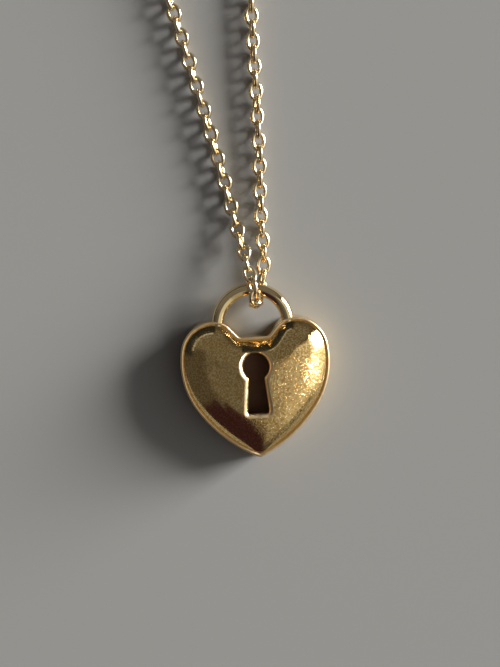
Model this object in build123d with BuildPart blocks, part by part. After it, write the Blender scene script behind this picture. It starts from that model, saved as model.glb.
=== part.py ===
# Heart padlock necklace: a hollow puffed heart with a keyhole and a ring shackle,
# lying on its flat back, on a fine cable chain that makes one whole loop.
#
# Frame: millimetres, +Z up. The origin is on the flat back of the heart. +Y runs up the
# heart's middle line, from its tip to the shackle. The chain lies on the same surface.
import os
from math import cos, radians, sin, sqrt, tan

from build123d import *

os.makedirs("parts", exist_ok=True)

# Heart case
heart_width = 15.0  # across the lobes, at the back
case_depth = 2.9  # height of the side wall, from the back to the rim
dome_height = 1.55  # how far the puffed front rises above the rim
dome_share = 0.80  # the front goes on rising over this share of the way to a lobe's middle
wall = 0.5  # metal thickness of the hollow case
wall_draft = 0.12  # how much the side wall leans in from the back to the rim
rim_ledge = 0.22  # flat shoulder between the side wall and the puffed front
back_round = 0.25  # rounding where the side wall meets the back
rim_round = 0.08  # rounding of the rim's outer edge
least_round = 0.15  # smallest corner that an inner section keeps

# Outline of the heart's back: lengths are shares of its width, angles are degrees
notch_floor = {"height": 0.163, "half_width": 0.0915, "round": 0.042}
notch_flank = {"length": 0.073, "angle": 48.0}
lobe_arcs = [
    {"name": "shoulder", "radius": 0.1480, "turn": 44.0},
    {"name": "lobe", "radius": 0.2290, "turn": 84.0},
    {"name": "side", "radius": 0.5650, "turn": 45.0},
]
lower_radius = 0.95  # last arc of the outline, down to the tip
tip_radius = 0.050

# Keyhole
keyhole_diameter = 2.6
keyhole_height = -0.54  # centre of the round head, from the origin
keyhole_length = 5.9  # from the top of the head to the foot of the slot
keyhole_neck = 1.5  # width of the slot where it leaves the head
keyhole_foot = 2.15  # width at its foot
keyhole_foot_round = 0.25
keyhole_lip = 0.28  # rounding of the front edge

# Shackle
shackle_wire = 1.26
shackle_radius = 3.5  # of the wire's centre line
shackle_height = 3.57  # centre of the half ring, from the origin
shackle_level = 2.25  # height of the wire's centre line above the back
shackle_seat = 1.2  # how far the legs run into the case

# Chain
chain_width = 1.5  # the space that the turned links fill
chain_gap = 0.12  # clearance at each end of the chain
bend_share = 0.45  # a bend starts at this share of the shorter run beside its corner

# Clasp and rings, which lie in a row along X at the back of the loop
clasp_place = (-11.0, 195.0)  # centre of the spring ring
clasp_level = 1.5  # height of its centre line, carried by the two rings
clasp_radius = 2.4
clasp_wire = 1.2
clasp_nub = {"width": 0.8, "length": 0.9, "angle": 115.0}  # the angle is from +X
eye_radius = 1.0
eye_wire = 0.5
end_ring_radius = 1.7
end_ring_wire = 0.6
end_ring_play = 0.35  # how far its centre lies beyond the clasp's wire
clasp_ring_radius = 1.5
clasp_ring_wire = 0.5
clasp_ring_play = 0.45  # how far its centre lies beyond the eye's wire
ring_tilt = 50.0  # how far a linked ring stands up from the surface, in degrees


def toward(start, end, distance):
    """The point a given distance from start on the way to end."""
    return start + (end - start).normalized() * distance


# Fixed points of the outline: every section of the case shares these arc centres
flank_turn = radians(notch_flank["angle"])
into_case = Vector(sin(flank_turn), -cos(flank_turn))
along_flank = Vector(cos(flank_turn), sin(flank_turn))
notch_radius = notch_floor["round"] * heart_width
notch_centre = Vector(
    notch_floor["half_width"] * heart_width - notch_radius * tan(flank_turn / 2),
    notch_floor["height"] * heart_width + notch_radius,
)
flank_start = notch_centre + into_case * notch_radius
flank_end = flank_start + along_flank * notch_flank["length"] * heart_width

arc_centres = []
arc_radii = []
heading = flank_turn
corner = flank_end
for arc in lobe_arcs:
    radius = arc["radius"] * heart_width
    centre = corner + Vector(sin(heading), -cos(heading)) * radius
    heading -= radians(arc["turn"])
    corner = centre - Vector(sin(heading), -cos(heading)) * radius
    arc_centres.append(centre)
    arc_radii.append(radius)
arc_radii.append(lower_radius * heart_width)
arc_centres.append(corner + Vector(sin(heading), -cos(heading)) * arc_radii[-1])


def heart_section(inset, level):
    """Face of the heart at a level, a given distance inside the outline of the back."""
    shoulder, lobe, side, lower = arc_centres
    shoulder_r, lobe_r, side_r, lower_r = [radius - inset for radius in arc_radii]
    if shoulder_r < least_round:
        # The true corner has closed up: a small one slides down between flank and lobe
        shoulder_r = least_round
        across = (lobe - flank_end).dot(into_case) - (inset + shoulder_r)
        reach = lobe_r - shoulder_r
        shoulder = lobe - into_case * across - along_flank * sqrt(reach**2 - across**2)
    tip_r = max(tip_radius * heart_width - inset, least_round)
    tip = Vector(0, lower.Y - sqrt((lower_r - tip_r) ** 2 - lower.X**2))
    floor = notch_floor["height"] * heart_width - inset
    corners = [
        Vector(notch_centre.X, floor),
        notch_centre + into_case * (notch_radius + inset),
        shoulder - into_case * shoulder_r,
        toward(lobe, shoulder, lobe_r),
        toward(side, lobe, side_r),
        toward(lower, side, lower_r),
        toward(lower, tip, lower_r),
        Vector(0, tip.Y - tip_r),
    ]
    arcs = [
        (corners[0], corners[1], notch_centre),
        (corners[2], corners[3], shoulder),
        (corners[3], corners[4], lobe),
        (corners[4], corners[5], side),
        (corners[5], corners[6], lower),
        (corners[6], corners[7], tip),
    ]
    with BuildSketch(Plane.XY.offset(level)) as section:
        with BuildLine():
            Line((0, floor), corners[0])
            Line(corners[1], corners[2])
            for start, end, centre in arcs:
                middle = toward(centre, (start + end) / 2, (start - centre).length)
                ThreePointArc(start, middle, end)
            mirror(about=Plane.YZ)
        make_face()
    return section.sketch


def dome_sections(edge_inset, edge_level, reach, rise):
    """Sections up a quarter ellipse, from a rim to the flat middle of the front."""
    angles = [0, 15, 30, 45, 60, 75, 90]
    sections = []
    for angle in angles:
        inset = edge_inset + reach * (1 - cos(radians(angle)))
        level = edge_level + rise * sin(radians(angle))
        sections.append(heart_section(inset, level))
    return sections


def keyhole_section(widening, level):
    """Face of the keyhole at a level, widened all round by a given distance."""
    head_radius = keyhole_diameter / 2
    slot_top = keyhole_height - sqrt(head_radius**2 - (keyhole_neck / 2) ** 2)
    slot_foot = keyhole_height + head_radius - keyhole_length
    with BuildSketch(Plane.XY.offset(level)) as section:
        with BuildLine():
            Polyline(
                (keyhole_neck / 2, slot_top),
                (keyhole_foot / 2, slot_foot),
                (-keyhole_foot / 2, slot_foot),
                (-keyhole_neck / 2, slot_top),
                close=True,
            )
        make_face()
        fillet(section.vertices().group_by(Axis.Y)[0], keyhole_foot_round)
        with Locations((0, keyhole_height)):
            Circle(head_radius)
        if widening > 0:
            offset(amount=widening)
    return section.sketch


dome_inset = wall_draft + rim_ledge
dome_reach = dome_share * (arc_radii[1] - dome_inset)
front_level = case_depth + dome_height

# Heart padlock: case, keyhole and shackle, soldered into one piece
with BuildPart() as heart_padlock:
    loft([heart_section(0, 0), heart_section(wall_draft, case_depth)], ruled=True)
    back_edges = heart_padlock.faces().sort_by(Axis.Z)[0].edges()
    rim_edges = heart_padlock.faces().sort_by(Axis.Z)[-1].edges()
    fillet(back_edges, back_round)
    fillet(rim_edges, rim_round)
    loft(dome_sections(dome_inset, case_depth, dome_reach, dome_height), ruled=True)

    # Hollow inside, one wall thickness in from every outer face
    loft(
        [heart_section(wall, wall), heart_section(wall + wall_draft, case_depth - wall)],
        ruled=True,
        mode=Mode.SUBTRACT,
    )
    loft(
        dome_sections(dome_inset + wall, case_depth - wall, dome_reach - wall, dome_height),
        ruled=True,
        mode=Mode.SUBTRACT,
    )

    # Keyhole through the front, opened out to a rounded lip
    extrude(keyhole_section(0, front_level), amount=-(dome_height + wall), mode=Mode.SUBTRACT)
    lip_angles = [0, 30, 60, 90]
    lip_sections = []
    for angle in lip_angles:
        widening = keyhole_lip * (1 - cos(radians(angle)))
        depth = keyhole_lip * (1 - sin(radians(angle)))
        lip_sections.append(keyhole_section(widening, front_level - depth))
    loft(lip_sections, ruled=True, mode=Mode.SUBTRACT)

    # Shackle: a half ring with two short legs that run into the lobes
    leg_foot = shackle_height - shackle_seat
    with BuildLine(Plane.XY.offset(shackle_level)) as shackle_line:
        Line((-shackle_radius, leg_foot), (-shackle_radius, shackle_height))
        CenterArc((0, shackle_height), shackle_radius, 180, -180)
        Line((shackle_radius, shackle_height), (shackle_radius, leg_foot))
    with BuildSketch(Plane(shackle_line.line @ 0, z_dir=shackle_line.line % 0)) as wire:
        Circle(shackle_wire / 2)
    sweep(wire.sketch, path=shackle_line.line)


# Hidden clasp end: ring, spring ring with its eye, ring, in a row along +X
clasp_x, clasp_y = clasp_place
end_ring_x = clasp_x - clasp_radius - end_ring_play
eye_overlap = min(eye_wire, clasp_wire) / 3  # how deep the eye is soldered into the clasp
eye_x = clasp_x + clasp_radius + clasp_wire / 2 + eye_radius + eye_wire / 2 - eye_overlap
clasp_ring_x = eye_x + eye_radius + clasp_ring_play


def ring_level(radius, wire):
    """Height of a tilted ring's centre, so that its lowest point meets the surface."""
    return radius * sin(radians(ring_tilt)) + wire / 2


with BuildPart() as clasp:
    with BuildSketch(Plane.XZ.offset(-clasp_y)) as clasp_wires:
        with Locations((clasp_x + clasp_radius, clasp_level)):
            Circle(clasp_wire / 2)
    revolve(clasp_wires.sketch, Axis((clasp_x, clasp_y, 0), (0, 0, 1)))
    with BuildSketch(Plane.XZ.offset(-clasp_y)) as eye_wires:
        with Locations((eye_x + eye_radius, clasp_level)):
            Circle(eye_wire / 2)
    revolve(eye_wires.sketch, Axis((eye_x, clasp_y, 0), (0, 0, 1)))
    nub_angle = radians(clasp_nub["angle"])
    nub_way = Vector(cos(nub_angle), sin(nub_angle))
    nub_plane = Plane(Vector(clasp_x, clasp_y, clasp_level) + nub_way * clasp_radius, z_dir=nub_way)
    with BuildSketch(nub_plane) as nub:
        Circle(clasp_nub["width"] / 2)
    extrude(nub.sketch, amount=clasp_wire / 2 + clasp_nub["length"])

tilted = Vector(0, -sin(radians(ring_tilt)), cos(radians(ring_tilt)))
end_ring_centre = Vector(end_ring_x, clasp_y, ring_level(end_ring_radius, end_ring_wire))
with BuildPart(Plane(end_ring_centre, z_dir=tilted)) as end_ring:
    Torus(end_ring_radius, end_ring_wire / 2)

clasp_ring_centre = Vector(clasp_ring_x, clasp_y, ring_level(clasp_ring_radius, clasp_ring_wire))
with BuildPart(Plane(clasp_ring_centre, z_dir=tilted)) as clasp_ring:
    Torus(clasp_ring_radius, clasp_ring_wire / 2)

# Chain: points of its line, chosen by hand, from the end ring round to the clasp's ring
lying = chain_width / 2
left_end = end_ring_x - end_ring_radius - end_ring_wire / 2 - chain_gap
right_end = clasp_ring_x + clasp_ring_radius + clasp_ring_wire / 2 + chain_gap
chain_route = [
    (left_end, clasp_y, lying),
    (-32.0, 191.0, lying),
    (-49.0, 175.5, lying),
    (-57.5, 150.0, lying),
    (-53.5, 120.0, lying),
    (-39.0, 92.5, lying),
    (-22.5, 69.0, lying),
    (-12.4, 51.0, lying),
    (-6.9, 38.5, lying),
    (-4.3, 28.0, lying),
    (-2.3, 19.5, lying),
    (-1.25, 14.3, lying),
    (-0.4, 10.4, 2.3),
    (0.25, 6.72, 4.03),
    (0.4, 5.26, 2.63),
    (0.85, 6.02, lying),
    (1.6, 9.6, lying),
    (1.4, 13.9, lying),
    (1.72, 21.9, lying),
    (1.6, 36.0, lying),
    (2.4, 46.5, lying),
    (6.3, 61.5, lying),
    (15.0, 85.5, lying),
    (29.0, 111.5, lying),
    (37.0, 141.5, lying),
    (29.5, 170.5, lying),
    (11.5, 189.5, lying),
    (right_end, clasp_y, lying),
]
meeting_run = 18  # the two stretches meet halfway along the run after this point


def chain_stretch(points, name):
    """A tube of straight runs and tangent bends along some points of the chain's line."""
    line = [Vector(*point) for point in points]
    runs = [(after - before).length for before, after in zip(line, line[1:])]
    bends = []
    for before, here, after, run_in, run_out in zip(line, line[1:], line[2:], runs, runs[1:]):
        turn = (here - before).get_angle(after - here)
        bends.append(bend_share * min(run_in, run_out) / tan(radians(turn) / 2))
    with BuildPart() as stretch:
        with BuildLine() as path:
            FilletPolyline(*line, radius=bends)
        with BuildSketch(Plane(path.line @ 0, z_dir=path.line % 0)) as end_face:
            Circle(chain_width / 2)
        sweep(end_face.sketch, path=path.line)
    length = path.wires()[0].length
    filled = stretch.part.volume / (end_face.sketch.area * length)
    print(name, "is", round(length, 1), "mm long and its volume is", round(filled, 4), "of section by length")
    print(name, "has bend radii", [round(bend, 1) for bend in bends])
    return stretch


meeting_point = (Vector(*chain_route[meeting_run]) + Vector(*chain_route[meeting_run + 1])) / 2
left_route = chain_route[: meeting_run + 1] + [tuple(meeting_point)]
right_route = [tuple(meeting_point)] + chain_route[meeting_run + 1 :]
chain_left = chain_stretch(left_route, "chain_left")
chain_right = chain_stretch(right_route, "chain_right")

heart_padlock.part.label = "heart_padlock"
export_step(heart_padlock.part, "parts/heart_padlock.step")
chain_left.part.label = "chain_left"
export_step(chain_left.part, "parts/chain_left.step")
chain_right.part.label = "chain_right"
export_step(chain_right.part, "parts/chain_right.step")
end_ring.part.label = "end_ring"
export_step(end_ring.part, "parts/end_ring.step")
clasp.part.label = "clasp"
export_step(clasp.part, "parts/clasp.step")
clasp_ring.part.label = "clasp_ring"
export_step(clasp_ring.part, "parts/clasp_ring.step")
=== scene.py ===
# %% [markdown]
# # A heart padlock pendant on a fine cable chain
# The necklace lies on a pale floor. Its pendant is a puffed heart, made as a hollow case with
# a keyhole in its front and a half-ring shackle. The chain runs over the shackle's bar, turns
# down through the shackle and comes back under the bar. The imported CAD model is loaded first:
# it fixes where every piece is, and each piece made here stands for the solids in its place.

# %% Load the frame
from math import atan2, cos, pi, radians, sin, sqrt, tan

import bmesh
import bpy
import numpy as np
from mathutils import Matrix, Vector


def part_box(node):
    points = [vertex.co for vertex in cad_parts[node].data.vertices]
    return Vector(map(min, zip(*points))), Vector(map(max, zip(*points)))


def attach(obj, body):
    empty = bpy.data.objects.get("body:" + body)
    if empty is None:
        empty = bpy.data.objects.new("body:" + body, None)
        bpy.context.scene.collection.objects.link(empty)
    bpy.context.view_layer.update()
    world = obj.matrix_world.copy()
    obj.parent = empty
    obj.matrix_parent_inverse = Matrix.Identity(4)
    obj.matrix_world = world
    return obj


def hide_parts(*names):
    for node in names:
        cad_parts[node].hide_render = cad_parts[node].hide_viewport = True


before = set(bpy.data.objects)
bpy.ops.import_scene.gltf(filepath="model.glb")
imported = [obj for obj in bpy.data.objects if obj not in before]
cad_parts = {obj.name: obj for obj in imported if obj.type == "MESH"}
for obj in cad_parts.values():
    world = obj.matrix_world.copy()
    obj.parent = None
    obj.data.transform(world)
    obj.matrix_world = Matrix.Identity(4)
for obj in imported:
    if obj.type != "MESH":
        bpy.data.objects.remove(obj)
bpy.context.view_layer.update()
mm = 0.001
print("frame has", len(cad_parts), "CAD nodes")

# %% [markdown]
# ## The camera
# The photograph looks almost straight down on the pendant, from about twelve centimetres. The
# camera leans a little towards the chain, because the picture shows the inner walls of the
# notch, and it is turned by three degrees against the heart's middle line. A camera is placed
# best by what it looks at: a target, a distance and the way that is up.

# %% Camera
target = Vector((-0.36, 2.71, 2.9)) * mm
camera_distance = 122.97 * mm
lean_up = radians(4.0)
lean_left = radians(2.0)
picture_turn = radians(3.34)
picture_up = Vector((sin(picture_turn), cos(picture_turn), 0))
picture_right = Vector((cos(picture_turn), -sin(picture_turn), 0))

view_back = Vector((0, 0, 1)) + picture_up * tan(lean_up) - picture_right * tan(lean_left)
view_back.normalize()
camera_right = picture_up.cross(view_back).normalized()
camera_up = view_back.cross(camera_right)

camera_data = bpy.data.cameras.new("camera")
camera_data.sensor_fit = "AUTO"
camera_data.sensor_width = 36
camera_data.lens = 67.2
camera_data.clip_start = 5 * mm
camera_data.clip_end = 20
camera = bpy.data.objects.new("camera", camera_data)
turn = Matrix((camera_right, camera_up, view_back)).transposed()
camera.matrix_world = Matrix.Translation(target + view_back * camera_distance) @ turn.to_4x4()
bpy.context.scene.collection.objects.link(camera)
bpy.context.scene.camera = camera
print("camera is", round(camera.location.z / mm, 1), "mm above the floor")

# %% [markdown]
# ## The heart's outline
# A die-struck case has an outline of tangent arcs, because a cutter's radius makes each bend.
# From the middle of the notch it runs along a short floor, up a straight flank, round the
# shoulder, the lobe and the side, and down a long arc to the tip. Written as arcs, the outline
# can be moved inwards by any distance: each arc keeps its centre and only its radius changes.
# That gives the rows of the mesh for the wall, the rim and the puffed front. Lengths are
# shares of the heart's width, and angles are degrees.

# %% Arcs of the outline
heart_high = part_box("heart_padlock")[1]
notch_floor = {"height": 0.163, "half_width": 0.0915, "round": 0.042}
notch_flank = {"length": 0.073, "angle": 48.0}
lobe_arcs = [
    {"name": "shoulder", "radius": 0.1480, "turn": 44.0},
    {"name": "lobe", "radius": 0.2290, "turn": 84.0},
    {"name": "side", "radius": 0.5650, "turn": 45.0},
]
lower_radius = 0.95
tip_radius = 0.050
least_round = 0.010


def heart_arcs(width):
    """Centres and radii of the outline's arcs, for a heart of that width."""
    turned = radians(notch_flank["angle"])
    inward = np.array([sin(turned), -cos(turned)])
    along = np.array([cos(turned), sin(turned)])
    notch_radius = notch_floor["round"] * width
    notch_x = notch_floor["half_width"] * width - notch_radius * tan(turned / 2)
    notch = np.array([notch_x, notch_floor["height"] * width + notch_radius])
    corner = notch + inward * notch_radius + along * notch_flank["length"] * width
    arcs = {"width": width, "inward": inward, "along": along, "notch": notch, "flank_end": corner}
    arcs["notch_radius"] = notch_radius
    heading = turned
    arcs["centres"] = []
    arcs["radii"] = []
    for arc in lobe_arcs + [{"radius": lower_radius, "turn": 0.0}]:
        radius = arc["radius"] * width
        centre = corner + np.array([sin(heading), -cos(heading)]) * radius
        heading -= radians(arc["turn"])
        corner = centre - np.array([sin(heading), -cos(heading)]) * radius
        arcs["centres"].append(centre)
        arcs["radii"].append(radius)
    return arcs


def between(start, end, distance):
    """The point at that distance from start on the way to end."""
    way = np.array(end) - np.array(start)
    return np.array(start) + way / np.linalg.norm(way) * distance


def outline_corners(arcs, inset):
    """Where the pieces of the right half meet, moved in by inset, with each piece's centre."""
    shoulder, lobe, side, lower = arcs["centres"]
    shoulder_r, lobe_r, side_r, lower_r = [radius - inset for radius in arcs["radii"]]
    smallest = least_round * arcs["width"]
    if shoulder_r < smallest:
        shoulder_r = smallest
        across = (lobe - arcs["flank_end"]) @ arcs["inward"] - (inset + shoulder_r)
        back = sqrt((lobe_r - shoulder_r) ** 2 - across**2)
        shoulder = lobe - arcs["inward"] * across - arcs["along"] * back
    tip_r = max(tip_radius * arcs["width"] - inset, smallest)
    tip = np.array([0, lower[1] - sqrt((lower_r - tip_r) ** 2 - lower[0] ** 2)])
    floor = notch_floor["height"] * arcs["width"] - inset
    notch = arcs["notch"]
    return [
        ("floor", np.array([0, floor]), None),
        ("notch", np.array([notch[0], floor]), notch),
        ("flank", notch + arcs["inward"] * (arcs["notch_radius"] + inset), None),
        ("shoulder", shoulder - arcs["inward"] * shoulder_r, shoulder),
        ("lobe", between(lobe, shoulder, lobe_r), lobe),
        ("side", between(side, lobe, side_r), side),
        ("lower", between(lower, side, lower_r), lower),
        ("tip", between(lower, tip, lower_r), tip),
        ("end", np.array([0, tip[1] - tip_r]), None),
    ]


# %% [markdown]
# ## Points round the outline
# Every row of the mesh needs as many points as the next, so that the rows can be joined. Each
# stretch of the outline gets a fixed number of them, more where it is long or bends sharply.
# The left half is the mirror image of the right one.

# %% Points round the outline
columns = {
    "floor": 8,
    "notch": 14,
    "flank": 18,
    "shoulder": 26,
    "lobe": 46,
    "side": 40,
    "lower": 80,
    "tip": 12,
}


def straight_or_arc(start, end, centre, count):
    """Points from start up to end, without end, on a straight line or round a centre."""
    shares = np.arange(count)[:, None] / count
    if centre is None:
        return start + (end - start) * shares
    first = atan2(*(start - centre)[::-1])
    last = atan2(*(end - centre)[::-1])
    swept = (last - first + pi) % (2 * pi) - pi
    angles = first + swept * shares
    return centre + np.linalg.norm(start - centre) * np.hstack([np.cos(angles), np.sin(angles)])


def heart_outline(arcs, inset=0.0):
    """Points round the whole outline, moved in by inset, clockwise from the notch's middle."""
    corners = outline_corners(arcs, inset)
    right = []
    for (name, start, centre), (_, end, _) in zip(corners, corners[1:]):
        right.append(straight_or_arc(start, end, centre, columns[name]))
    right = np.vstack(right + [corners[-1][1][None]])
    left = right[1:-1][::-1] * [-1, 1]
    return np.vstack([right, left])


unit_reach = heart_outline(heart_arcs(1.0))[:, 0].max()
heart = heart_arcs(heart_high.x / unit_reach)
print("heart's table is for a width of", round(heart["width"] / mm, 2), "mm")
print("its outline has", len(heart_outline(heart)), "points")

# %% [markdown]
# ## The puffed front
# The front rises from the rim in a round, like a cushion, with a slight crown over the whole
# heart. Polished metal shows its shape only in its reflections, so the height has to be smooth
# to the eye everywhere. It is a formula of two things: how far a point lies from the rim, and
# where it lies under the crown. The distance is exact, worked out from the same arcs. Towards
# the tip the two sides come near each other, and a plain distance would leave a sharp ridge
# between them. There both distances are blended into one, which rounds the ridge.

# %% Distance from the outline
ridge_sharpness = 3.0
least_length = 1e-9


def distance_to_pieces(points, names):
    """How far each point lies from the named lines and arcs of the outline's right half."""
    corners = outline_corners(heart, 0.0)
    nearest = np.full(len(points), np.inf)
    for (name, start, centre), (_, end, _) in zip(corners, corners[1:]):
        if name not in names:
            continue
        if centre is None:
            way = end - start
            share = np.clip((points - start) @ way / (way @ way), 0, 1)
            apart = np.linalg.norm(points - start - share[:, None] * way, axis=1)
        else:
            radius = np.linalg.norm(start - centre)
            middle = (start + end) / 2 - centre
            widest = (start - centre) @ middle / radius
            spokes = points - centre
            lengths = np.maximum(np.linalg.norm(spokes, axis=1), least_length)
            facing = spokes @ middle / lengths >= widest
            to_start = np.linalg.norm(points - start, axis=1)
            to_end = np.linalg.norm(points - end, axis=1)
            apart = np.where(facing, np.abs(lengths - radius), np.minimum(to_start, to_end))
        nearest = np.minimum(nearest, apart)
    return nearest


def distance_to_outline(points):
    """How far each point inside the heart lies from its outline, blended between the two sides."""
    own_side = np.column_stack([np.abs(points[:, 0]), points[:, 1]])
    near = distance_to_pieces(own_side, list(columns))
    far = distance_to_pieces(own_side * [-1, 1], ["side", "lower", "tip"])
    near = np.maximum(near, least_length)
    return near * (1 + (near / far) ** ridge_sharpness) ** (-1 / ridge_sharpness)


# %% Height of the front
case_depth = 2.9 * mm
wall = 0.5 * mm
wall_draft = 0.12 * mm
back_round = 0.25 * mm
bead_radius = 0.15 * mm
crease_gap = 0.02 * mm
groove_depth = 0.10 * mm
groove_level = case_depth - groove_depth
groove_inset = wall_draft + 2 * bead_radius + crease_gap
edge_slope = radians(42.0)
puff_reach = 2.55 * mm
crown_rise = 0.60 * mm
crown_middle = np.array([0, -2.2]) * mm
crown_reach = 7.5 * mm
puff_rise = heart_high.z - groove_level - crown_rise


def front_height(points, distance, edge=groove_inset, level=groove_level, reach=puff_reach):
    """Height of the puffed front at points that lie at that distance from the outline."""
    left_over = 1 - np.clip((distance - edge) / reach, 0, 1)
    puff = np.sqrt(1 - (sin(edge_slope) * left_over) ** 2) - cos(edge_slope)
    puff /= 1 - cos(edge_slope)
    off_middle = np.linalg.norm((points - crown_middle) / crown_reach, axis=1)
    return level + puff * (puff_rise + crown_rise * (1 - off_middle**2))


print("front rises", round(puff_rise / mm, 2), "mm from the groove")
print("and its crown", round(crown_rise / mm, 2), "mm more in the middle")

# %% [markdown]
# ## The keyhole
# The keyhole is punched: a round head over a slot that widens to its foot, with an edge that
# rolls into the hole. One way is a boolean cut, but that leaves long thin faces that spoil the
# reflections round the hole. Here the mesh is laid out round the keyhole from the start. The
# hole's border is a distance function, and the border at any width beyond it is found along
# rays from a point in the slot, by halving an interval until it is exact.

# %% Border of the keyhole
keyhole_head = np.array([0, -0.54]) * mm
head_radius = 1.3 * mm
keyhole_length = 5.9 * mm
neck_drop = 1.06 * mm
slot_foot = keyhole_head[1] + head_radius - keyhole_length
slot_top = keyhole_head[1] - neck_drop
half_neck = 0.75 * mm
half_foot = 1.075 * mm
foot_round = 0.25 * mm
lip_round = 0.40 * mm
ray_centre = np.array([0, -2.1]) * mm
longest_ray = 6 * mm
halvings = 40


def distance_to_keyhole(points):
    """How far each point lies outside the keyhole; it is negative inside."""
    across, height = np.abs(points[:, 0]), points[:, 1]
    head = np.linalg.norm(points - keyhole_head, axis=1) - head_radius
    half_width = half_foot + (half_neck - half_foot) * (height - slot_foot) / (slot_top - slot_foot)
    beside = across - half_width + foot_round
    below = slot_foot - height + foot_round
    corner = np.hypot(np.maximum(beside, 0), np.maximum(below, 0)) - foot_round
    slot = corner + np.minimum(np.maximum(beside, below), 0)
    return np.minimum(head, np.maximum(slot, height - keyhole_head[1]))


def keyhole_border(rays, beyond):
    """Points on rays from the slot that lie that far beyond the keyhole's edge."""
    near = np.zeros(len(rays))
    far = np.full(len(rays), longest_ray)
    for _ in range(halvings):
        middle = (near + far) / 2
        outside = distance_to_keyhole(ray_centre + rays * middle[:, None]) > beyond
        far = np.where(outside, middle, far)
        near = np.where(outside, near, middle)
    return ray_centre + rays * far[:, None]


# %% [markdown]
# ## The case as one closed skin
# The case is drawn from the middle of its back, round the side, over the rim's bead, down into
# the fine groove inside it, up the puffed front, round the keyhole's lip, and then on inside:
# under the front, down the inner wall and across the inner floor. Each step is one row of
# points round the heart, and neighbouring rows are joined by four-sided faces. The skin closes
# at a point in the middle of the back and at one in the middle of the inner floor, so it has a
# real wall thickness and no open edge.

# %% Rows of the back, the side and the rim
case_middle = np.array([0, -1.0]) * mm
bead_level = case_depth - bead_radius
back_shares = (0.25, 0.5, 0.75, 0.95)
wall_shares = (0.33, 0.66)


def level_row(points, height):
    """A row of points in space, all at one height or each at its own."""
    return np.column_stack([points, np.broadcast_to(height, len(points))])


def quarter_turn(count):
    """Angles from nought to a right angle, in radians."""
    return np.radians(np.linspace(0, 90, count))


def side_rows():
    """Rows out over the back, round its edge and up the side wall."""
    rows = []
    back_edge = heart_outline(heart, back_round)
    for share in back_shares:
        rows.append(level_row(case_middle + (back_edge - case_middle) * share, 0.0))
    for angle in quarter_turn(7):
        inset = back_round * (1 - sin(angle))
        rows.append(level_row(heart_outline(heart, inset), back_round * (1 - cos(angle))))
    for share in wall_shares:
        height = back_round + (bead_level - back_round) * share
        rows.append(level_row(heart_outline(heart, wall_draft * share), height))
    return rows


def rim_rows():
    """Rows over the bead of the rim and down to the groove."""
    rows = []
    for angle in np.radians(np.linspace(180, 30, 12)):
        inset = wall_draft + bead_radius * (1 + cos(angle))
        rows.append(level_row(heart_outline(heart, inset), bead_level + bead_radius * sin(angle)))
    return rows


# %% Rows of the front, the lip and the inside
strip_reach = 1.10 * mm
lip_crowding = 1.5
near_hole = 0.3
inner_wall_shares = (0.25, 0.5, 0.75, 1.0)
inner_floor_shares = (0.7, 0.35)


def row_on_front(points):
    """A row of points at the height of the puffed front."""
    return level_row(points, front_height(points, distance_to_outline(points)))


def front_rows():
    """Rows in from the groove to the keyhole's lip, and the rays that meet the lip."""
    rows = []
    for angle in quarter_turn(19):
        inset = groove_inset + strip_reach * (1 - cos(angle))
        rows.append(row_on_front(heart_outline(heart, inset)))
    inner_edge = rows[-1][:, :2]
    rays = inner_edge - ray_centre
    rays /= np.linalg.norm(rays, axis=1)[:, None]
    lip_edge = keyhole_border(rays, lip_round)
    for share in 1 - np.cos(quarter_turn(19)[1:]) ** lip_crowding:
        rows.append(row_on_front(inner_edge + (lip_edge - inner_edge) * share))
    return rows, rays


def lip_rows(rays, lip_level):
    """Rows that roll over the keyhole's edge, and one at the foot of its wall."""
    rows = []
    for angle in quarter_turn(7)[1:]:
        row = keyhole_border(rays, lip_round * (1 - sin(angle)))
        rows.append(level_row(row, lip_level - lip_round * (1 - cos(angle))))
    rows.append(level_row(rows[-1][:, :2], lip_level - wall))
    return rows


def inside_rows(hole_edge, lip_level):
    """Rows out under the front, down the inner wall and in over the inner floor."""
    rows = []
    inner_inset = groove_inset + wall
    inner_level = groove_level - wall
    inner_rim = heart_outline(heart, inner_inset)
    for share in np.linspace(0, 1, 12)[1:]:
        row = hole_edge + (inner_rim - hole_edge) * share
        distance = distance_to_outline(row)
        under = front_height(row, distance, inner_inset, inner_level, puff_reach - wall)
        if share < near_hole:
            under = np.minimum(under, lip_level - wall)
        rows.append(level_row(row, under))
    for share in inner_wall_shares:
        height = inner_level + (2 * wall - groove_level) * share
        rows.append(level_row(heart_outline(heart, inner_inset - groove_inset * share), height))
    floor_edge = rows[-1][:, :2]
    for share in inner_floor_shares:
        rows.append(level_row(case_middle + (floor_edge - case_middle) * share, wall))
    return rows


# %% The case's mesh
def mesh_from_rows(name, rows, first_pole, last_pole, groups):
    """A closed mesh: rows joined by quads, with a fan at each end. groups holds (first row, material)."""
    around = len(rows[0])
    points = np.vstack([first_pole] + rows + [last_pole])
    faces = []
    owners = []
    for column in range(around):
        beside = (column + 1) % around
        faces.append((0, 1 + column, 1 + beside))
        owners.append(-1)
    for row in range(len(rows) - 1):
        lower, upper = 1 + row * around, 1 + (row + 1) * around
        for column in range(around):
            beside = (column + 1) % around
            faces.append((lower + column, upper + column, upper + beside, lower + beside))
            owners.append(row)
    last = len(points) - 1
    final = 1 + (len(rows) - 1) * around
    for column in range(around):
        beside = (column + 1) % around
        faces.append((final + column, last, final + beside))
        owners.append(len(rows))
    mesh = bpy.data.meshes.new(name)
    mesh.from_pydata(points.tolist(), [], faces)
    starts = np.array([row for row, _ in groups])
    found = np.searchsorted(starts, owners, side="right") - 1
    mesh.polygons.foreach_set("material_index", [groups[place][1] for place in found])
    return mesh


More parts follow.
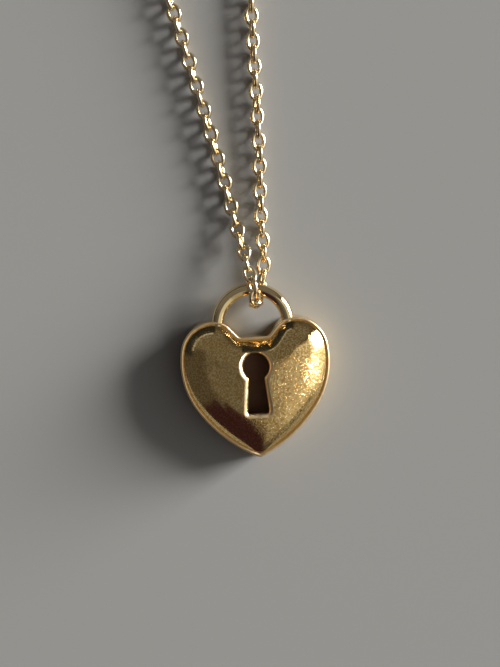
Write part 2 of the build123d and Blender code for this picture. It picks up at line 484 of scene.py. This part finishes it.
rows = side_rows()
rim_start = len(rows)
rows += rim_rows()
front_start = len(rows)
to_lip, rays = front_rows()
rows += to_lip
lip_start = len(rows) - 1
lip_level = rows[-1][:, 2]
rows += lip_rows(rays, lip_level)
inside_start = len(rows) - 1
rows += inside_rows(rows[-1][:, :2], lip_level)

plated, bare, scuffed = range(3)
groups = [
    (-1, plated),
    (rim_start, scuffed),
    (front_start, plated),
    (lip_start, scuffed),
    (inside_start, bare),
]
case_mesh = mesh_from_rows("heart_case", rows, [*case_middle, 0.0], [*case_middle, wall], groups)
print("case has", len(case_mesh.polygons), "faces in", len(rows), "rows")

# %% [markdown]
# ## From a mesh to a piece
# One function turns every face of a mesh outwards and marks its sharp edges. Another says to the
# frame which body a piece rides on, which CAD solids it stands for and whose finish it has.


# %% Turn a finished mesh into a piece
def finish_mesh(mesh, sharp_angle=40.0):
    """Turns every face outwards and shades it smooth, except across sharp edges."""
    shape = bmesh.new()
    shape.from_mesh(mesh)
    bmesh.ops.recalc_face_normals(shape, faces=shape.faces)
    for face in shape.faces:
        face.smooth = True
    shape.to_mesh(mesh)
    shape.free()
    mesh.set_sharp_from_angle(angle=radians(sharp_angle))
    return mesh


def add_piece(name, mesh, nodes, materials):
    """A piece that rides on the necklace's one body and stands for the named CAD solids."""
    piece = bpy.data.objects.new(name, mesh)
    bpy.context.scene.collection.objects.link(piece)
    if not mesh.materials:
        for material in materials:
            mesh.materials.append(material)
    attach(piece, "root")
    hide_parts(*nodes)
    low = [round(min(v.co[i] for v in mesh.vertices) / mm, 2) for i in range(3)]
    high = [round(max(v.co[i] for v in mesh.vertices) / mm, 2) for i in range(3)]
    print(name, "spans", low, "to", high, "mm with", len(mesh.polygons), "faces")
    return piece


# %% [markdown]
# ## Wire parts
# The shackle, the spring ring and the jump rings are all drawn wire. A curve with a round bevel
# is the natural way to make wire in Blender: its path is a few points and its thickness is one
# number. The result is made a plain mesh, because a piece is kept as a mesh with its place in
# its points.


# %% Wire along a path
def wire_mesh(name, path, thickness, closed, roundness=7):
    """A mesh of round wire along a path of points; an open wire has flat ends."""
    curve = bpy.data.curves.new(name, "CURVE")
    curve.dimensions = "3D"
    curve.bevel_depth = thickness / 2
    curve.bevel_resolution = roundness
    curve.use_fill_caps = not closed
    spline = curve.splines.new("POLY")
    spline.points.add(len(path) - 1)
    for point, place in zip(spline.points, path):
        point.co = (*place, 1)
    spline.use_cyclic_u = closed
    holder = bpy.data.objects.new(name, curve)
    bpy.context.scene.collection.objects.link(holder)
    evaluated = holder.evaluated_get(bpy.context.evaluated_depsgraph_get())
    mesh = bpy.data.meshes.new_from_object(evaluated)
    bpy.data.objects.remove(holder)
    bpy.data.curves.remove(curve)
    return mesh


def ring_path(centre, radius, tilt=0.0, start=0.0, sweep=360.0, count=96):
    """Points round a circle that is tilted about X; a whole circle leaves out its last point."""
    whole = sweep >= 360
    angles = np.radians(start + np.linspace(0, sweep, count, endpoint=not whole))
    upright = Vector((0, cos(radians(tilt)), sin(radians(tilt))))
    return [Vector(centre) + radius * (Vector((cos(a), 0, 0)) + upright * sin(a)) for a in angles]


def join_meshes(name, meshes):
    """One mesh from several."""
    shape = bmesh.new()
    for mesh in meshes:
        shape.from_mesh(mesh)
        bpy.data.meshes.remove(mesh)
    joined = bpy.data.meshes.new(name)
    shape.to_mesh(joined)
    shape.free()
    return joined


# %% [markdown]
# ## The shackle
# The shackle is a thick wire bent to a half ring, with two short legs that run into the lobes,
# where they are soldered. Its wire lies just below the rim, so the rim's line passes in front
# of its feet. The top of the frame's box says how high the half ring reaches.

# %% Shackle
shackle_wire = 1.26 * mm
shackle_radius = 3.5 * mm
shackle_level = 2.25 * mm
leg_length = 1.2 * mm
shackle_centre = Vector((0, heart_high.y - shackle_radius - shackle_wire / 2, shackle_level))
arch = ring_path(shackle_centre, shackle_radius, start=0.0, sweep=180.0, count=73)
leg = Vector((0, leg_length, 0))
shackle_path = [arch[0] - leg] + arch + [arch[-1] - leg]
shackle_mesh = wire_mesh("shackle", shackle_path, shackle_wire, closed=False, roundness=9)

# %% [markdown]
# ## The chain's line
# The chain is one whole loop, about 45 cm long with its clasp. A NURBS curve of order three
# takes a few listed points and runs smoothly past them, as a limp chain does. Near the
# pendant its points follow the photograph: over the bar, down inside the shackle, and back
# under the bar. The links are then set along points read from this curve. Its points are given
# in millimetres, and lying is the height of the chain's middle where it lies flat.

# %% Route of the chain
lying = 0.79
chain_route = [
    (-15.78, 195.0, 1.60),
    (-18.0, 194.7, 1.25),
    (-21.0, 194.2, lying),
    (-32.0, 191.0, lying),
    (-49.0, 175.5, lying),
    (-57.5, 150.0, lying),
    (-53.5, 120.0, lying),
    (-39.0, 92.5, lying),
    (-22.5, 69.0, lying),
    (-12.4, 51.0, lying),
    (-6.9, 38.5, lying),
    (-4.3, 28.0, lying),
    (-2.3, 19.5, lying),
    (-1.25, 14.3, lying),
    (-0.4, 10.4, 2.3),
    (0.25, 6.72, 4.03),
    (0.4, 5.26, 2.63),
    (0.85, 6.02, lying),
    (1.6, 9.6, lying),
    (1.4, 13.9, lying),
    (1.72, 21.9, lying),
    (1.6, 36.0, lying),
    (2.4, 46.5, lying),
    (6.3, 61.5, lying),
    (15.0, 85.5, lying),
    (29.0, 111.5, lying),
    (37.0, 141.5, lying),
    (29.5, 170.5, lying),
    (11.5, 189.5, lying),
    (2.0, 193.6, lying),
    (-1.0, 194.5, 1.15),
    (-3.59, 195.0, 1.40),
]
line = bpy.data.curves.new("chain_line", "CURVE")
line.dimensions = "3D"
line.resolution_u = 32
route = line.splines.new("NURBS")
route.points.add(len(chain_route) - 1)
for point, place in zip(route.points, chain_route):
    point.co = (*[value * mm for value in place], 1)
route.order_u = 3
route.use_endpoint_u = True

# %% Points along the chain's line
line_holder = bpy.data.objects.new("chain_line", line)
bpy.context.scene.collection.objects.link(line_holder)
evaluated_line = line_holder.evaluated_get(bpy.context.evaluated_depsgraph_get())
line_mesh = bpy.data.meshes.new_from_object(evaluated_line)
bpy.data.objects.remove(line_holder)
line_points = np.array([vertex.co for vertex in line_mesh.vertices])
steps = np.linalg.norm(np.diff(line_points, axis=0), axis=1)
print("chain's line is", round(steps.sum() / mm, 1), "mm long with", len(line_points), "points")


# %% [markdown]
# ## Nodes, colours and materials
# Every node tree here, for materials, light and links alike, is built with one small function
# that adds a node, sets its properties and fills or links its inputs. Colours are written as
# they look on a screen and turned to the linear values that the renderer works in.


# %% Helpers for nodes and colours
def linear(colour):
    """A hex colour as it looks on a screen, as linear red, green, blue and alpha."""
    parts = [int(colour[i : i + 2], 16) / 255 for i in (1, 3, 5)]
    lit = [part / 12.92 if part <= 0.04045 else ((part + 0.055) / 1.055) ** 2.4 for part in parts]
    return (*lit, 1.0)


def add_node(tree, kind, inputs=None, **settings):
    """Adds a node. settings are its properties; inputs are values, or sockets to link from."""
    made = tree.nodes.new(kind)
    for name, value in settings.items():
        setattr(made, name, value)
    for key, value in (inputs or {}).items():
        if isinstance(value, bpy.types.NodeSocket):
            tree.links.new(value, made.inputs[key])
        else:
            made.inputs[key].default_value = value
    return made


def new_material(name):
    """A material, its node tree and its shader."""
    material = bpy.data.materials.new(name)
    material.use_nodes = True
    return material, material.node_tree, material.node_tree.nodes["Principled BSDF"]


# %% [markdown]
# ## Polished gold plate
# The pendant is brass, polished and plated with a few thousandths of a millimetre of gold. The
# plate gives the colour; the polish gives sharp reflections. What makes it look worn and real
# is on a small scale: hair scratches from handling, fine specks and a faint haze that spread
# the softbox's light over the right of the heart, and a colour that is slightly mottled.
# Scratches are noise stretched along several directions. They and the specks are drawn coarser
# than real ones, which would be too fine to show.

# %% Scratches
scratch_length = 0.9 * mm
scratch_width = 0.05 * mm
scratch_angles = (12, 47, 83, 118, 156)


def hair_scratches(tree, place, seed):
    """A value that is 1 on fine straight scratches in several directions."""
    total = None
    for count, angle in enumerate(scratch_angles):
        turning = {
            "Vector": place,
            "Location": (seed * mm, count * mm, 0),
            "Rotation": (0, 0, radians(angle)),
            "Scale": (scratch_length, scratch_width, scratch_length),
        }
        turned = add_node(tree, "ShaderNodeMapping", turning, vector_type="TEXTURE").outputs[0]
        streaks = add_node(tree, "ShaderNodeTexNoise", {"Vector": turned, "Scale": 1.0, "Detail": 1.0})
        thin = add_node(
            tree,
            "ShaderNodeMapRange",
            {"Value": streaks.outputs[0], "From Min": 0.64, "From Max": 0.70},
            interpolation_type="SMOOTHSTEP",
        ).outputs[0]
        if total is None:
            total = thin
        else:
            both = {0: total, 1: thin}
            total = add_node(tree, "ShaderNodeMath", both, operation="MAXIMUM").outputs[0]
    return total


# %% Polished gold plate
worn_middle = (3.3 * mm, -4.0 * mm, 3.6 * mm)
fully_worn = 3.4 * mm
not_worn = 5.6 * mm
speck_size = 0.10 * mm
speck_depth = 0.0105 * mm
scratch_depth = 0.004 * mm
mottle_size = 0.16 * mm


def polished_gold_plate():
    """Brass plated with gold and polished: mirror-like, worn to a glitter on one side."""
    material, tree, shader = new_material("gold plate over brass, polished")
    place = add_node(tree, "ShaderNodeTexCoord").outputs["Object"]
    reach = add_node(tree, "ShaderNodeVectorMath", {0: place, 1: worn_middle}, operation="DISTANCE")
    wear = add_node(
        tree,
        "ShaderNodeMapRange",
        {"Value": reach.outputs["Value"], "From Min": not_worn, "From Max": fully_worn},
        interpolation_type="SMOOTHSTEP",
    ).outputs[0]
    roughness = add_node(tree, "ShaderNodeMapRange", {"Value": wear, "To Min": 0.025, "To Max": 0.07})
    tree.links.new(roughness.outputs[0], shader.inputs["Roughness"])

    specks = add_node(tree, "ShaderNodeTexNoise", {"Vector": place, "Scale": 1 / speck_size, "Detail": 1.0})
    sparse = add_node(
        tree,
        "ShaderNodeMapRange",
        {"Value": specks.outputs[0], "From Min": 0.50, "From Max": 0.78},
        interpolation_type="SMOOTHSTEP",
    )
    raised = {"Height": sparse.outputs[0], "Distance": speck_depth, "Strength": wear}
    glitter = add_node(tree, "ShaderNodeBump", raised)
    depth = add_node(tree, "ShaderNodeMapRange", {"Value": wear, "To Min": 0.15, "To Max": 1.0})
    scoring = {
        "Height": hair_scratches(tree, place, seed=3),
        "Distance": scratch_depth,
        "Strength": depth.outputs[0],
        "Normal": glitter.outputs[0],
    }
    scored = add_node(tree, "ShaderNodeBump", scoring, invert=True)
    tree.links.new(scored.outputs[0], shader.inputs["Normal"])

    mottle = add_node(tree, "ShaderNodeTexNoise", {"Vector": place, "Scale": 1 / mottle_size, "Detail": 2.0})
    pale = add_node(
        tree,
        "ShaderNodeMapRange",
        {"Value": mottle.outputs[0], "From Min": 0.38, "From Max": 0.66},
        interpolation_type="SMOOTHSTEP",
    )
    tones = {0: pale.outputs[0], 6: linear("#DDB364"), 7: linear("#FFE6AC")}
    colour = add_node(tree, "ShaderNodeMix", tones, data_type="RGBA")
    tree.links.new(colour.outputs[2], shader.inputs["Base Color"])
    shader.inputs["Metallic"].default_value = 1.0
    return material


# %% [markdown]
# ## Raw brass, with painted shade
# The inside of the case is never plated. Its brass is coloured a dull dark brown in random
# spots: painted shade, so the keyhole looks deep.

# %% Raw brass with painted shade
spot_size = 0.8 * mm


def raw_brass_painted_shade():
    """The inside of the case, unplated and without a polish: its dark brown is painted shade."""
    material, tree, shader = new_material("brass, raw, with painted shade")
    place = add_node(tree, "ShaderNodeTexCoord").outputs["Object"]
    spotted = {"Vector": place, "Scale": 1 / spot_size, "Detail": 4.0}
    spots = add_node(tree, "ShaderNodeTexNoise", spotted).outputs[0]
    # The two browns are painted shade for the hollow inside, mixed in random spots.
    tones = {0: spots, 6: linear("#80604B"), 7: linear("#AC8768")}
    colour = add_node(tree, "ShaderNodeMix", tones, data_type="RGBA")
    tree.links.new(colour.outputs[2], shader.inputs["Base Color"])
    roughness = add_node(tree, "ShaderNodeMapRange", {"Value": spots, "To Min": 0.45, "To Max": 0.75})
    tree.links.new(roughness.outputs[0], shader.inputs["Roughness"])
    shader.inputs["Metallic"].default_value = 1.0
    return material


# %% [markdown]
# ## Plated wire
# The wire parts are plated too, and tumbled, not polished. That leaves shallow facets, which
# break a highlight into short pieces. One function makes them all, as only the colour and the
# smoothness differ: the thick shackle is smooth, the chain and the clasp less so, and the
# heart's rim, which rubs against everything, has a soft sheen.

# %% Plated wire
facet_size = 0.35 * mm
facet_depth = 0.01 * mm


def plated_wire(name, colour, smooth, rough):
    """Gold-plated wire, tumbled bright: small rubbed facets break its highlights up."""
    material, tree, shader = new_material(name)
    place = add_node(tree, "ShaderNodeTexCoord").outputs["Object"]
    rubbing = {"Vector": place, "Scale": 1 / facet_size, "Detail": 3.0}
    rubbed = add_node(tree, "ShaderNodeTexNoise", rubbing).outputs[0]
    sheen = {"Value": rubbed, "From Min": 0.35, "From Max": 0.65, "To Min": smooth, "To Max": rough}
    roughness = add_node(tree, "ShaderNodeMapRange", sheen)
    tree.links.new(roughness.outputs[0], shader.inputs["Roughness"])
    facets = {"Height": rubbed, "Distance": facet_depth, "Strength": 0.5}
    dents = add_node(tree, "ShaderNodeBump", facets)
    tree.links.new(dents.outputs[0], shader.inputs["Normal"])
    shader.inputs["Base Color"].default_value = linear(colour)
    shader.inputs["Metallic"].default_value = 1.0
    return material


gold = polished_gold_plate()
inside = raw_brass_painted_shade()
rubbed_gold = plated_wire("gold plate over brass, scuffed edge", "#F3D6A6", 0.28, 0.42)
shackle_gold = plated_wire("gold plate over brass, drawn thick wire", "#F3DCA8", 0.04, 0.08)
chain_gold = plated_wire("gold plate over brass, tumbled chain wire", "#F5E0B6", 0.10, 0.20)
findings_gold = plated_wire("gold plate over brass, turned and tumbled findings", "#F4D59B", 0.10, 0.22)
finishes = [gold, inside, rubbed_gold, shackle_gold, chain_gold, findings_gold]
print("finishes:", [finish.name for finish in finishes])

# %% [markdown]
# ## The pendant
# The case and its shackle both stand for the one solid of the CAD model, because on the real
# pendant they are soldered together.

# %% Pendant pieces
case_finishes = [gold, inside, rubbed_gold]
add_piece("heart_case", finish_mesh(case_mesh), ["heart_padlock"], case_finishes)
add_piece("shackle", finish_mesh(shackle_mesh), ["heart_padlock"], [shackle_gold])

# %% [markdown]
# ## The links
# A cable chain is one link, repeated some 350 times, each turned a quarter round from the last.
# Geometry Nodes do just that: they read the line, space points along it by the pitch, turn each
# point to the line's direction, and set a link on it. A chain that lies on a surface leans,
# because no link can stand on edge: one link lies nearly flat and the next is steep. The lean
# wanders a little along the way, and the chain twists by a quarter turn where it goes over the
# shackle's bar.

# %% Nodes of one link
link_length = 2.10 * mm
link_width = 1.58 * mm
link_wire = 0.43 * mm
link_pitch = 1.232 * mm
link_sides = 12
wire_sides = 6


def link_shape(tree, given):
    """One link: a round wire along an oval, as a mesh."""
    wire = given["Wire thickness"]
    oval_length = add_node(tree, "ShaderNodeMath", {0: given["Link length"], 1: wire}, operation="SUBTRACT")
    oval_width = add_node(tree, "ShaderNodeMath", {0: given["Link width"], 1: wire}, operation="SUBTRACT")
    oval_size = add_node(
        tree, "ShaderNodeCombineXYZ", {"X": oval_length.outputs[0], "Y": oval_width.outputs[0], "Z": 1.0}
    )
    round_path = {"Resolution": link_sides, "Radius": 0.5}
    circle = add_node(tree, "GeometryNodeCurvePrimitiveCircle", round_path, mode="RADIUS")
    stretched = {"Geometry": circle.outputs[0], "Scale": oval_size.outputs[0]}
    oval = add_node(tree, "GeometryNodeTransform", stretched)
    half_wire = add_node(tree, "ShaderNodeMath", {0: wire, 1: 0.5}, operation="MULTIPLY")
    round_wire = {"Resolution": wire_sides, "Radius": half_wire.outputs[0]}
    section = add_node(tree, "GeometryNodeCurvePrimitiveCircle", round_wire, mode="RADIUS")
    swept = {"Curve": oval.outputs[0], "Profile Curve": section.outputs[0]}
    return add_node(tree, "GeometryNodeCurveToMesh", swept).outputs[0]


# %% Nodes that space and roll the links
wander_step = 0.37


def spaced_points(tree, given):
    """Points a pitch apart along the line, which know its direction there."""
    path = add_node(tree, "GeometryNodeMeshToCurve", {"Mesh": given["Line"]}).outputs[0]
    upright = add_node(tree, "GeometryNodeSetCurveNormal", {"Curve": path}, mode="Z_UP")
    whole = add_node(tree, "GeometryNodeCurveLength", {"Curve": path})
    pitches = add_node(tree, "ShaderNodeMath", {0: whole.outputs[0], 1: given["Pitch"]}, operation="DIVIDE")
    rounded = add_node(tree, "ShaderNodeMath", {0: pitches.outputs[0]}, operation="ROUND")
    count = add_node(tree, "ShaderNodeMath", {0: rounded.outputs[0], 1: 1.0}, operation="ADD")
    spacing = {"Curve": upright.outputs[0], "Count": count.outputs[0]}
    return add_node(tree, "GeometryNodeCurveToPoints", spacing, mode="COUNT").outputs


def link_roll(tree, given):
    """How far each link is rolled about the line."""
    index = add_node(tree, "GeometryNodeInputIndex").outputs[0]
    odd = add_node(tree, "ShaderNodeMath", {0: index, 1: 2.0}, operation="MODULO")
    quarter = add_node(tree, "ShaderNodeMath", {0: odd.outputs[0], 1: pi / 2}, operation="MULTIPLY")
    stepping = {0: index, 1: wander_step, 2: given["Seed"]}
    step = add_node(tree, "ShaderNodeMath", stepping, operation="MULTIPLY_ADD")
    uneven = {"W": step.outputs[0], "Scale": 1.0, "Detail": 1.0}
    noise = add_node(tree, "ShaderNodeTexNoise", uneven, noise_dimensions="1D")
    swing = add_node(
        tree,
        "ShaderNodeMapRange",
        {"Value": noise.outputs[0], "From Min": 0.25, "From Max": 0.75, "To Min": -1.0, "To Max": 1.0},
    )
    swinging = {0: swing.outputs[0], 1: given["Wander"], 2: given["Lean"]}
    wander = add_node(tree, "ShaderNodeMath", swinging, operation="MULTIPLY_ADD")
    lean = add_node(tree, "ShaderNodeMath", {0: quarter.outputs[0], 1: wander.outputs[0]}, operation="ADD")
    twisting = {
        "Value": index,
        "From Min": given["Twist start"],
        "From Max": given["Twist end"],
        "To Min": pi / 2,
        "To Max": 0.0,
    }
    twist = add_node(tree, "ShaderNodeMapRange", twisting, interpolation_type="SMOOTHSTEP")
    roll = add_node(tree, "ShaderNodeMath", {0: lean.outputs[0], 1: twist.outputs[0]}, operation="ADD")
    return roll.outputs[0]


# %% Node tree of the chain
def link_tree():
    """Geometry Nodes that set links along a line."""
    tree = bpy.data.node_groups.new("cable_chain", "GeometryNodeTree")
    numbers = ["Link length", "Link width", "Wire thickness", "Pitch", "Lean", "Wander"]
    numbers += ["Twist start", "Twist end", "Seed"]
    sockets = [("Line", "Geometry"), *[(name, "Float") for name in numbers], ("Material", "Material")]
    for name, kind in sockets:
        tree.interface.new_socket(name, in_out="INPUT", socket_type="NodeSocket" + kind)
    tree.interface.new_socket("Chain", in_out="OUTPUT", socket_type="NodeSocketGeometry")
    given = add_node(tree, "NodeGroupInput").outputs

    points = spaced_points(tree, given)
    along = add_node(
        tree,
        "FunctionNodeAxesToRotation",
        {0: points["Tangent"], 1: points["Normal"]},
        primary_axis="X",
        secondary_axis="Y",
    )
    rolling = {"Axis": (1, 0, 0), "Angle": link_roll(tree, given)}
    about = add_node(tree, "FunctionNodeAxisAngleToRotation", rolling)
    turning = {"Rotation": along.outputs[0], "Rotate By": about.outputs[0]}
    turned = add_node(tree, "FunctionNodeRotateRotation", turning, rotation_space="LOCAL").outputs[0]
    placing = {"Points": points["Points"], "Instance": link_shape(tree, given), "Rotation": turned}
    links = add_node(tree, "GeometryNodeInstanceOnPoints", placing)
    real = add_node(tree, "GeometryNodeRealizeInstances", {"Geometry": links.outputs[0]})
    smooth = add_node(tree, "GeometryNodeSetShadeSmooth", {"Geometry": real.outputs[0]})
    finish = {"Geometry": smooth.outputs[0], "Material": given["Material"]}
    coloured = add_node(tree, "GeometryNodeSetMaterial", finish)
    add_node(tree, "NodeGroupOutput", {0: coloured.outputs[0]})
    return tree


# %% [markdown]
# ## The chain
# A modifier runs the tree on the mesh of the line. Its inputs are set by the identifiers of
# their sockets, and the result is copied to a plain mesh. The quarter turn is spread over a few
# links on each side of the bar.


# %% Links along the line
def run_nodes(host_mesh, tree, values):
    """Runs a node tree on a mesh with the named values and returns the result as a plain mesh."""
    host = bpy.data.objects.new("nodes_host", host_mesh)
    bpy.context.scene.collection.objects.link(host)
    modifier = host.modifiers.new("nodes", "NODES")
    modifier.node_group = tree
    for name, value in values.items():
        modifier[tree.interface.items_tree[name].identifier] = value
    evaluated = host.evaluated_get(bpy.context.evaluated_depsgraph_get())
    mesh = bpy.data.meshes.new_from_object(evaluated)
    host.modifiers.remove(modifier)
    bpy.data.objects.remove(host)
    return mesh


over_bar = np.argmax(line_points[:, 2])
bar_link = steps[:over_bar].sum() / link_pitch
print("link", round(bar_link), "of the chain lies over the bar")

twist_spread = 5
chain_values = {
    "Link length": link_length,
    "Link width": link_width,
    "Wire thickness": link_wire,
    "Pitch": link_pitch,
    "Lean": radians(14),
    "Wander": radians(9),
    "Twist start": bar_link - twist_spread,
    "Twist end": bar_link + twist_spread,
    "Seed": 7.0,
    "Material": chain_gold,
}
chain_mesh = run_nodes(line_mesh, link_tree(), chain_values)
chain_mesh.name = "cable_chain"
faces_of_link = link_sides * wire_sides
print("chain has", len(chain_mesh.polygons) // faces_of_link, "links")
add_piece("cable_chain", chain_mesh, ["chain_left", "chain_right"], [chain_gold])

# %% [markdown]
# ## Clasp and rings
# The photograph doesn't show the back of the loop. It has what a plain chain of this kind has:
# a spring ring on one end, a larger ring on the other, and a small ring that joins the spring
# ring's eye to the chain. The spring ring's tongue is thinner than its tube and shows in the
# gap; the nub that draws it back stands out beside it.

# %% Clasp and rings
ring_tilt = 50.0
end_ring_wire = 0.6 * mm
clasp_ring_wire = 0.5 * mm
clasp_wire = 1.2 * mm
clasp_radius = 2.4 * mm
tube_arc = {"start": 104, "sweep": 304}
tongue_arc = {"start": 40, "sweep": 72, "count": 24}
tongue_wire = 0.84 * mm
eye_wire = 0.5 * mm
eye_radius = 1.0 * mm
nub_angle = radians(115.0)
nub_width = 0.8 * mm
nub_length = 0.9 * mm


def jump_ring(node, wire):
    """A plain ring of wire in the place of a CAD ring that leans on the surface."""
    low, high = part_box(node)
    radius = (high.x - low.x - wire) / 2
    path = ring_path((low + high) / 2, radius, tilt=ring_tilt)
    return wire_mesh(node, path, wire, closed=True)


def spring_ring():
    """Tube, tongue, nub and eye of the clasp, as one mesh."""
    low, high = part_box("clasp")
    level = (low.z + high.z) / 2
    centre_x = low.x + clasp_radius + clasp_wire / 2
    centre_y = low.y + clasp_radius + clasp_wire / 2
    centre = Vector((centre_x, centre_y, level))
    tube = wire_mesh("tube", ring_path(centre, clasp_radius, **tube_arc), clasp_wire, closed=False)
    tongue = wire_mesh("tongue", ring_path(centre, clasp_radius, **tongue_arc), tongue_wire, closed=False)
    eye_centre = Vector((high.x - eye_radius - eye_wire / 2, centre.y, level))
    eye = wire_mesh("eye", ring_path(eye_centre, eye_radius, count=48), eye_wire, closed=True)
    way = Vector((cos(nub_angle), sin(nub_angle), 0))
    nub_path = [centre + way * (clasp_radius + out) for out in np.linspace(0, clasp_wire / 2 + nub_length, 6)]
    nub = wire_mesh("nub", nub_path, nub_width, closed=False)
    return join_meshes("spring_ring", [tube, tongue, eye, nub])


findings = [
    ("spring_ring", "clasp", spring_ring()),
    ("end_ring_wire", "end_ring", jump_ring("end_ring", end_ring_wire)),
    ("clasp_ring_wire", "clasp_ring", jump_ring("clasp_ring", clasp_ring_wire)),
]
for name, node, mesh in findings:
    add_piece(name, finish_mesh(mesh), [node], [findings_gold])

# %% [markdown]
# ## The floor
# The floor is one plain sheet of matt paper, pale enough to show the chain's soft shadow.

# %% Floor
floor_reach = 5.0
floor_mesh = bpy.data.meshes.new("floor")
sides = ((-1, -1), (1, -1), (1, 1), (-1, 1))
corners = [(x * floor_reach, y * floor_reach, 0) for x, y in sides]
floor_mesh.from_pydata(corners, [], [(0, 1, 2, 3)])
floor = bpy.data.objects.new("floor", floor_mesh)
bpy.context.scene.collection.objects.link(floor)
paper, _, paper_shader = new_material("seamless paper, matt")
paper_shader.inputs["Base Color"].default_value = linear("#868684")
paper_shader.inputs["Roughness"].default_value = 0.9
paper_shader.inputs["Specular IOR Level"].default_value = 0.2
floor_mesh.materials.append(paper)

# %% [markdown]
# ## The light
# Polished metal is a mirror, so its look is made by what surrounds it. A table lists soft
# panels of light and dark by direction, in degrees: a bright softbox low on the right, a dim
# ceiling and dark cloth on the left. The softbox also makes the soft shadows. Each panel is
# laid over the ones before it.

# %% Panels of light
room = {"colour": "#FFF6F3", "strength": 0.080}
panel_columns = ("name", "azimuth", "elevation", "soft", "colour", "strength")
panel_rows = [
    ("dim ceiling", (-180, 180), (64, 90), 12, "#FFFAF7", 0.145),
    ("pale screen at the far side", (40, 155), (14, 90), 8, "#FFFAF7", 0.155),
    ("grey screen on the right", (-76, -48), (16, 76), 6, "#FFFAF2", 0.34),
    ("white screen on the right", (-54, -20), (14, 80), 5, "#FFFAF2", 0.62),
    ("white screen over the softbox", (-26, 31), (34, 80), 3, "#FFFAF2", 0.64),
    ("diffuser beside the softbox", (-28, -8), (-5, 34), 3, "#FFFCF8", 1.0),
    ("softbox, far edge", (-11, 6), (-5, 36), 1.5, "#FFFCF8", 1.3),
    ("softbox, upper edge", (4, 32), (24, 37), 3, "#FFFDFA", 1.15),
    ("softbox, face", (4, 32), (-5, 26), 2.5, "#FFFDFA", 6.5),
    ("softbox, core", (9, 33), (3, 27), 1.5, "#FFFDFA", 69.0),
    ("dark cloth at the far side", (84, 176), (-5, 23), 3, "#EFF4FF", 0.03),
    ("pale strip over the cloth", (92, 166), (22.5, 26), 1, "#F2F6FF", 0.44),
    ("dark cloth on the left", (-142, -76), (-5, 50), 4, "#FFB4D8", 0.036),
    ("upper fold of the cloth", (-130, -90), (46, 72), 4, "#FFB4D8", 0.040),
]
panels = [dict(zip(panel_columns, row)) for row in panel_rows]


# %% Light by direction
def band_mask(tree, angle, middle, half, soft):
    """A value that is 1 where an angle lies within half of the middle and fades over soft."""
    off = add_node(tree, "ShaderNodeMath", {0: angle, 1: radians(middle)}, operation="SUBTRACT")
    wrapped = add_node(tree, "ShaderNodeMath", {0: off.outputs[0], 1: pi, 2: -pi}, operation="WRAP")
    size = add_node(tree, "ShaderNodeMath", {0: wrapped.outputs[0]}, operation="ABSOLUTE")
    near, far = radians(max(half - soft, 0)), radians(half + soft)
    edge = add_node(
        tree,
        "ShaderNodeMapRange",
        {"Value": size.outputs[0], "From Min": far, "From Max": near},
        interpolation_type="SMOOTHSTEP",
    )
    return edge.outputs[0]


def panel_mask(tree, azimuth, elevation, panel):
    """A value that is 1 where the direction points at the panel and fades at its edges."""
    mask = None
    for angle, key in ((azimuth, "azimuth"), (elevation, "elevation")):
        start, end = panel[key]
        band = band_mask(tree, angle, (start + end) / 2, (end - start) / 2, panel["soft"])
        if mask is None:
            mask = band
        else:
            mask = add_node(tree, "ShaderNodeMath", {0: mask, 1: band}, operation="MULTIPLY").outputs[0]
    return mask


world = bpy.data.worlds.new("studio")
bpy.context.scene.world = world
world.use_nodes = True
sky = world.node_tree
sky.nodes.clear()
direction = add_node(sky, "ShaderNodeTexCoord").outputs["Generated"]
parts = add_node(sky, "ShaderNodeSeparateXYZ", {0: direction}).outputs
azimuth = add_node(sky, "ShaderNodeMath", {0: parts[1], 1: parts[0]}, operation="ARCTAN2").outputs[0]
elevation = add_node(sky, "ShaderNodeMath", {0: parts[2]}, operation="ARCSINE").outputs[0]
room_glow = {"Color": linear(room["colour"]), "Strength": room["strength"]}
light = add_node(sky, "ShaderNodeBackground", room_glow, label="room").outputs[0]
for panel in panels:
    panel_glow = {"Color": linear(panel["colour"]), "Strength": panel["strength"]}
    glow = add_node(sky, "ShaderNodeBackground", panel_glow, label=panel["name"])
    mask = panel_mask(sky, azimuth, elevation, panel)
    light = add_node(sky, "ShaderNodeMixShader", {0: mask, 1: light, 2: glow.outputs[0]}).outputs[0]
add_node(sky, "ShaderNodeOutputWorld", {"Surface": light})
bpy.context.scene.view_settings.view_transform = "Standard"
print("light has", len(panels), "panels")
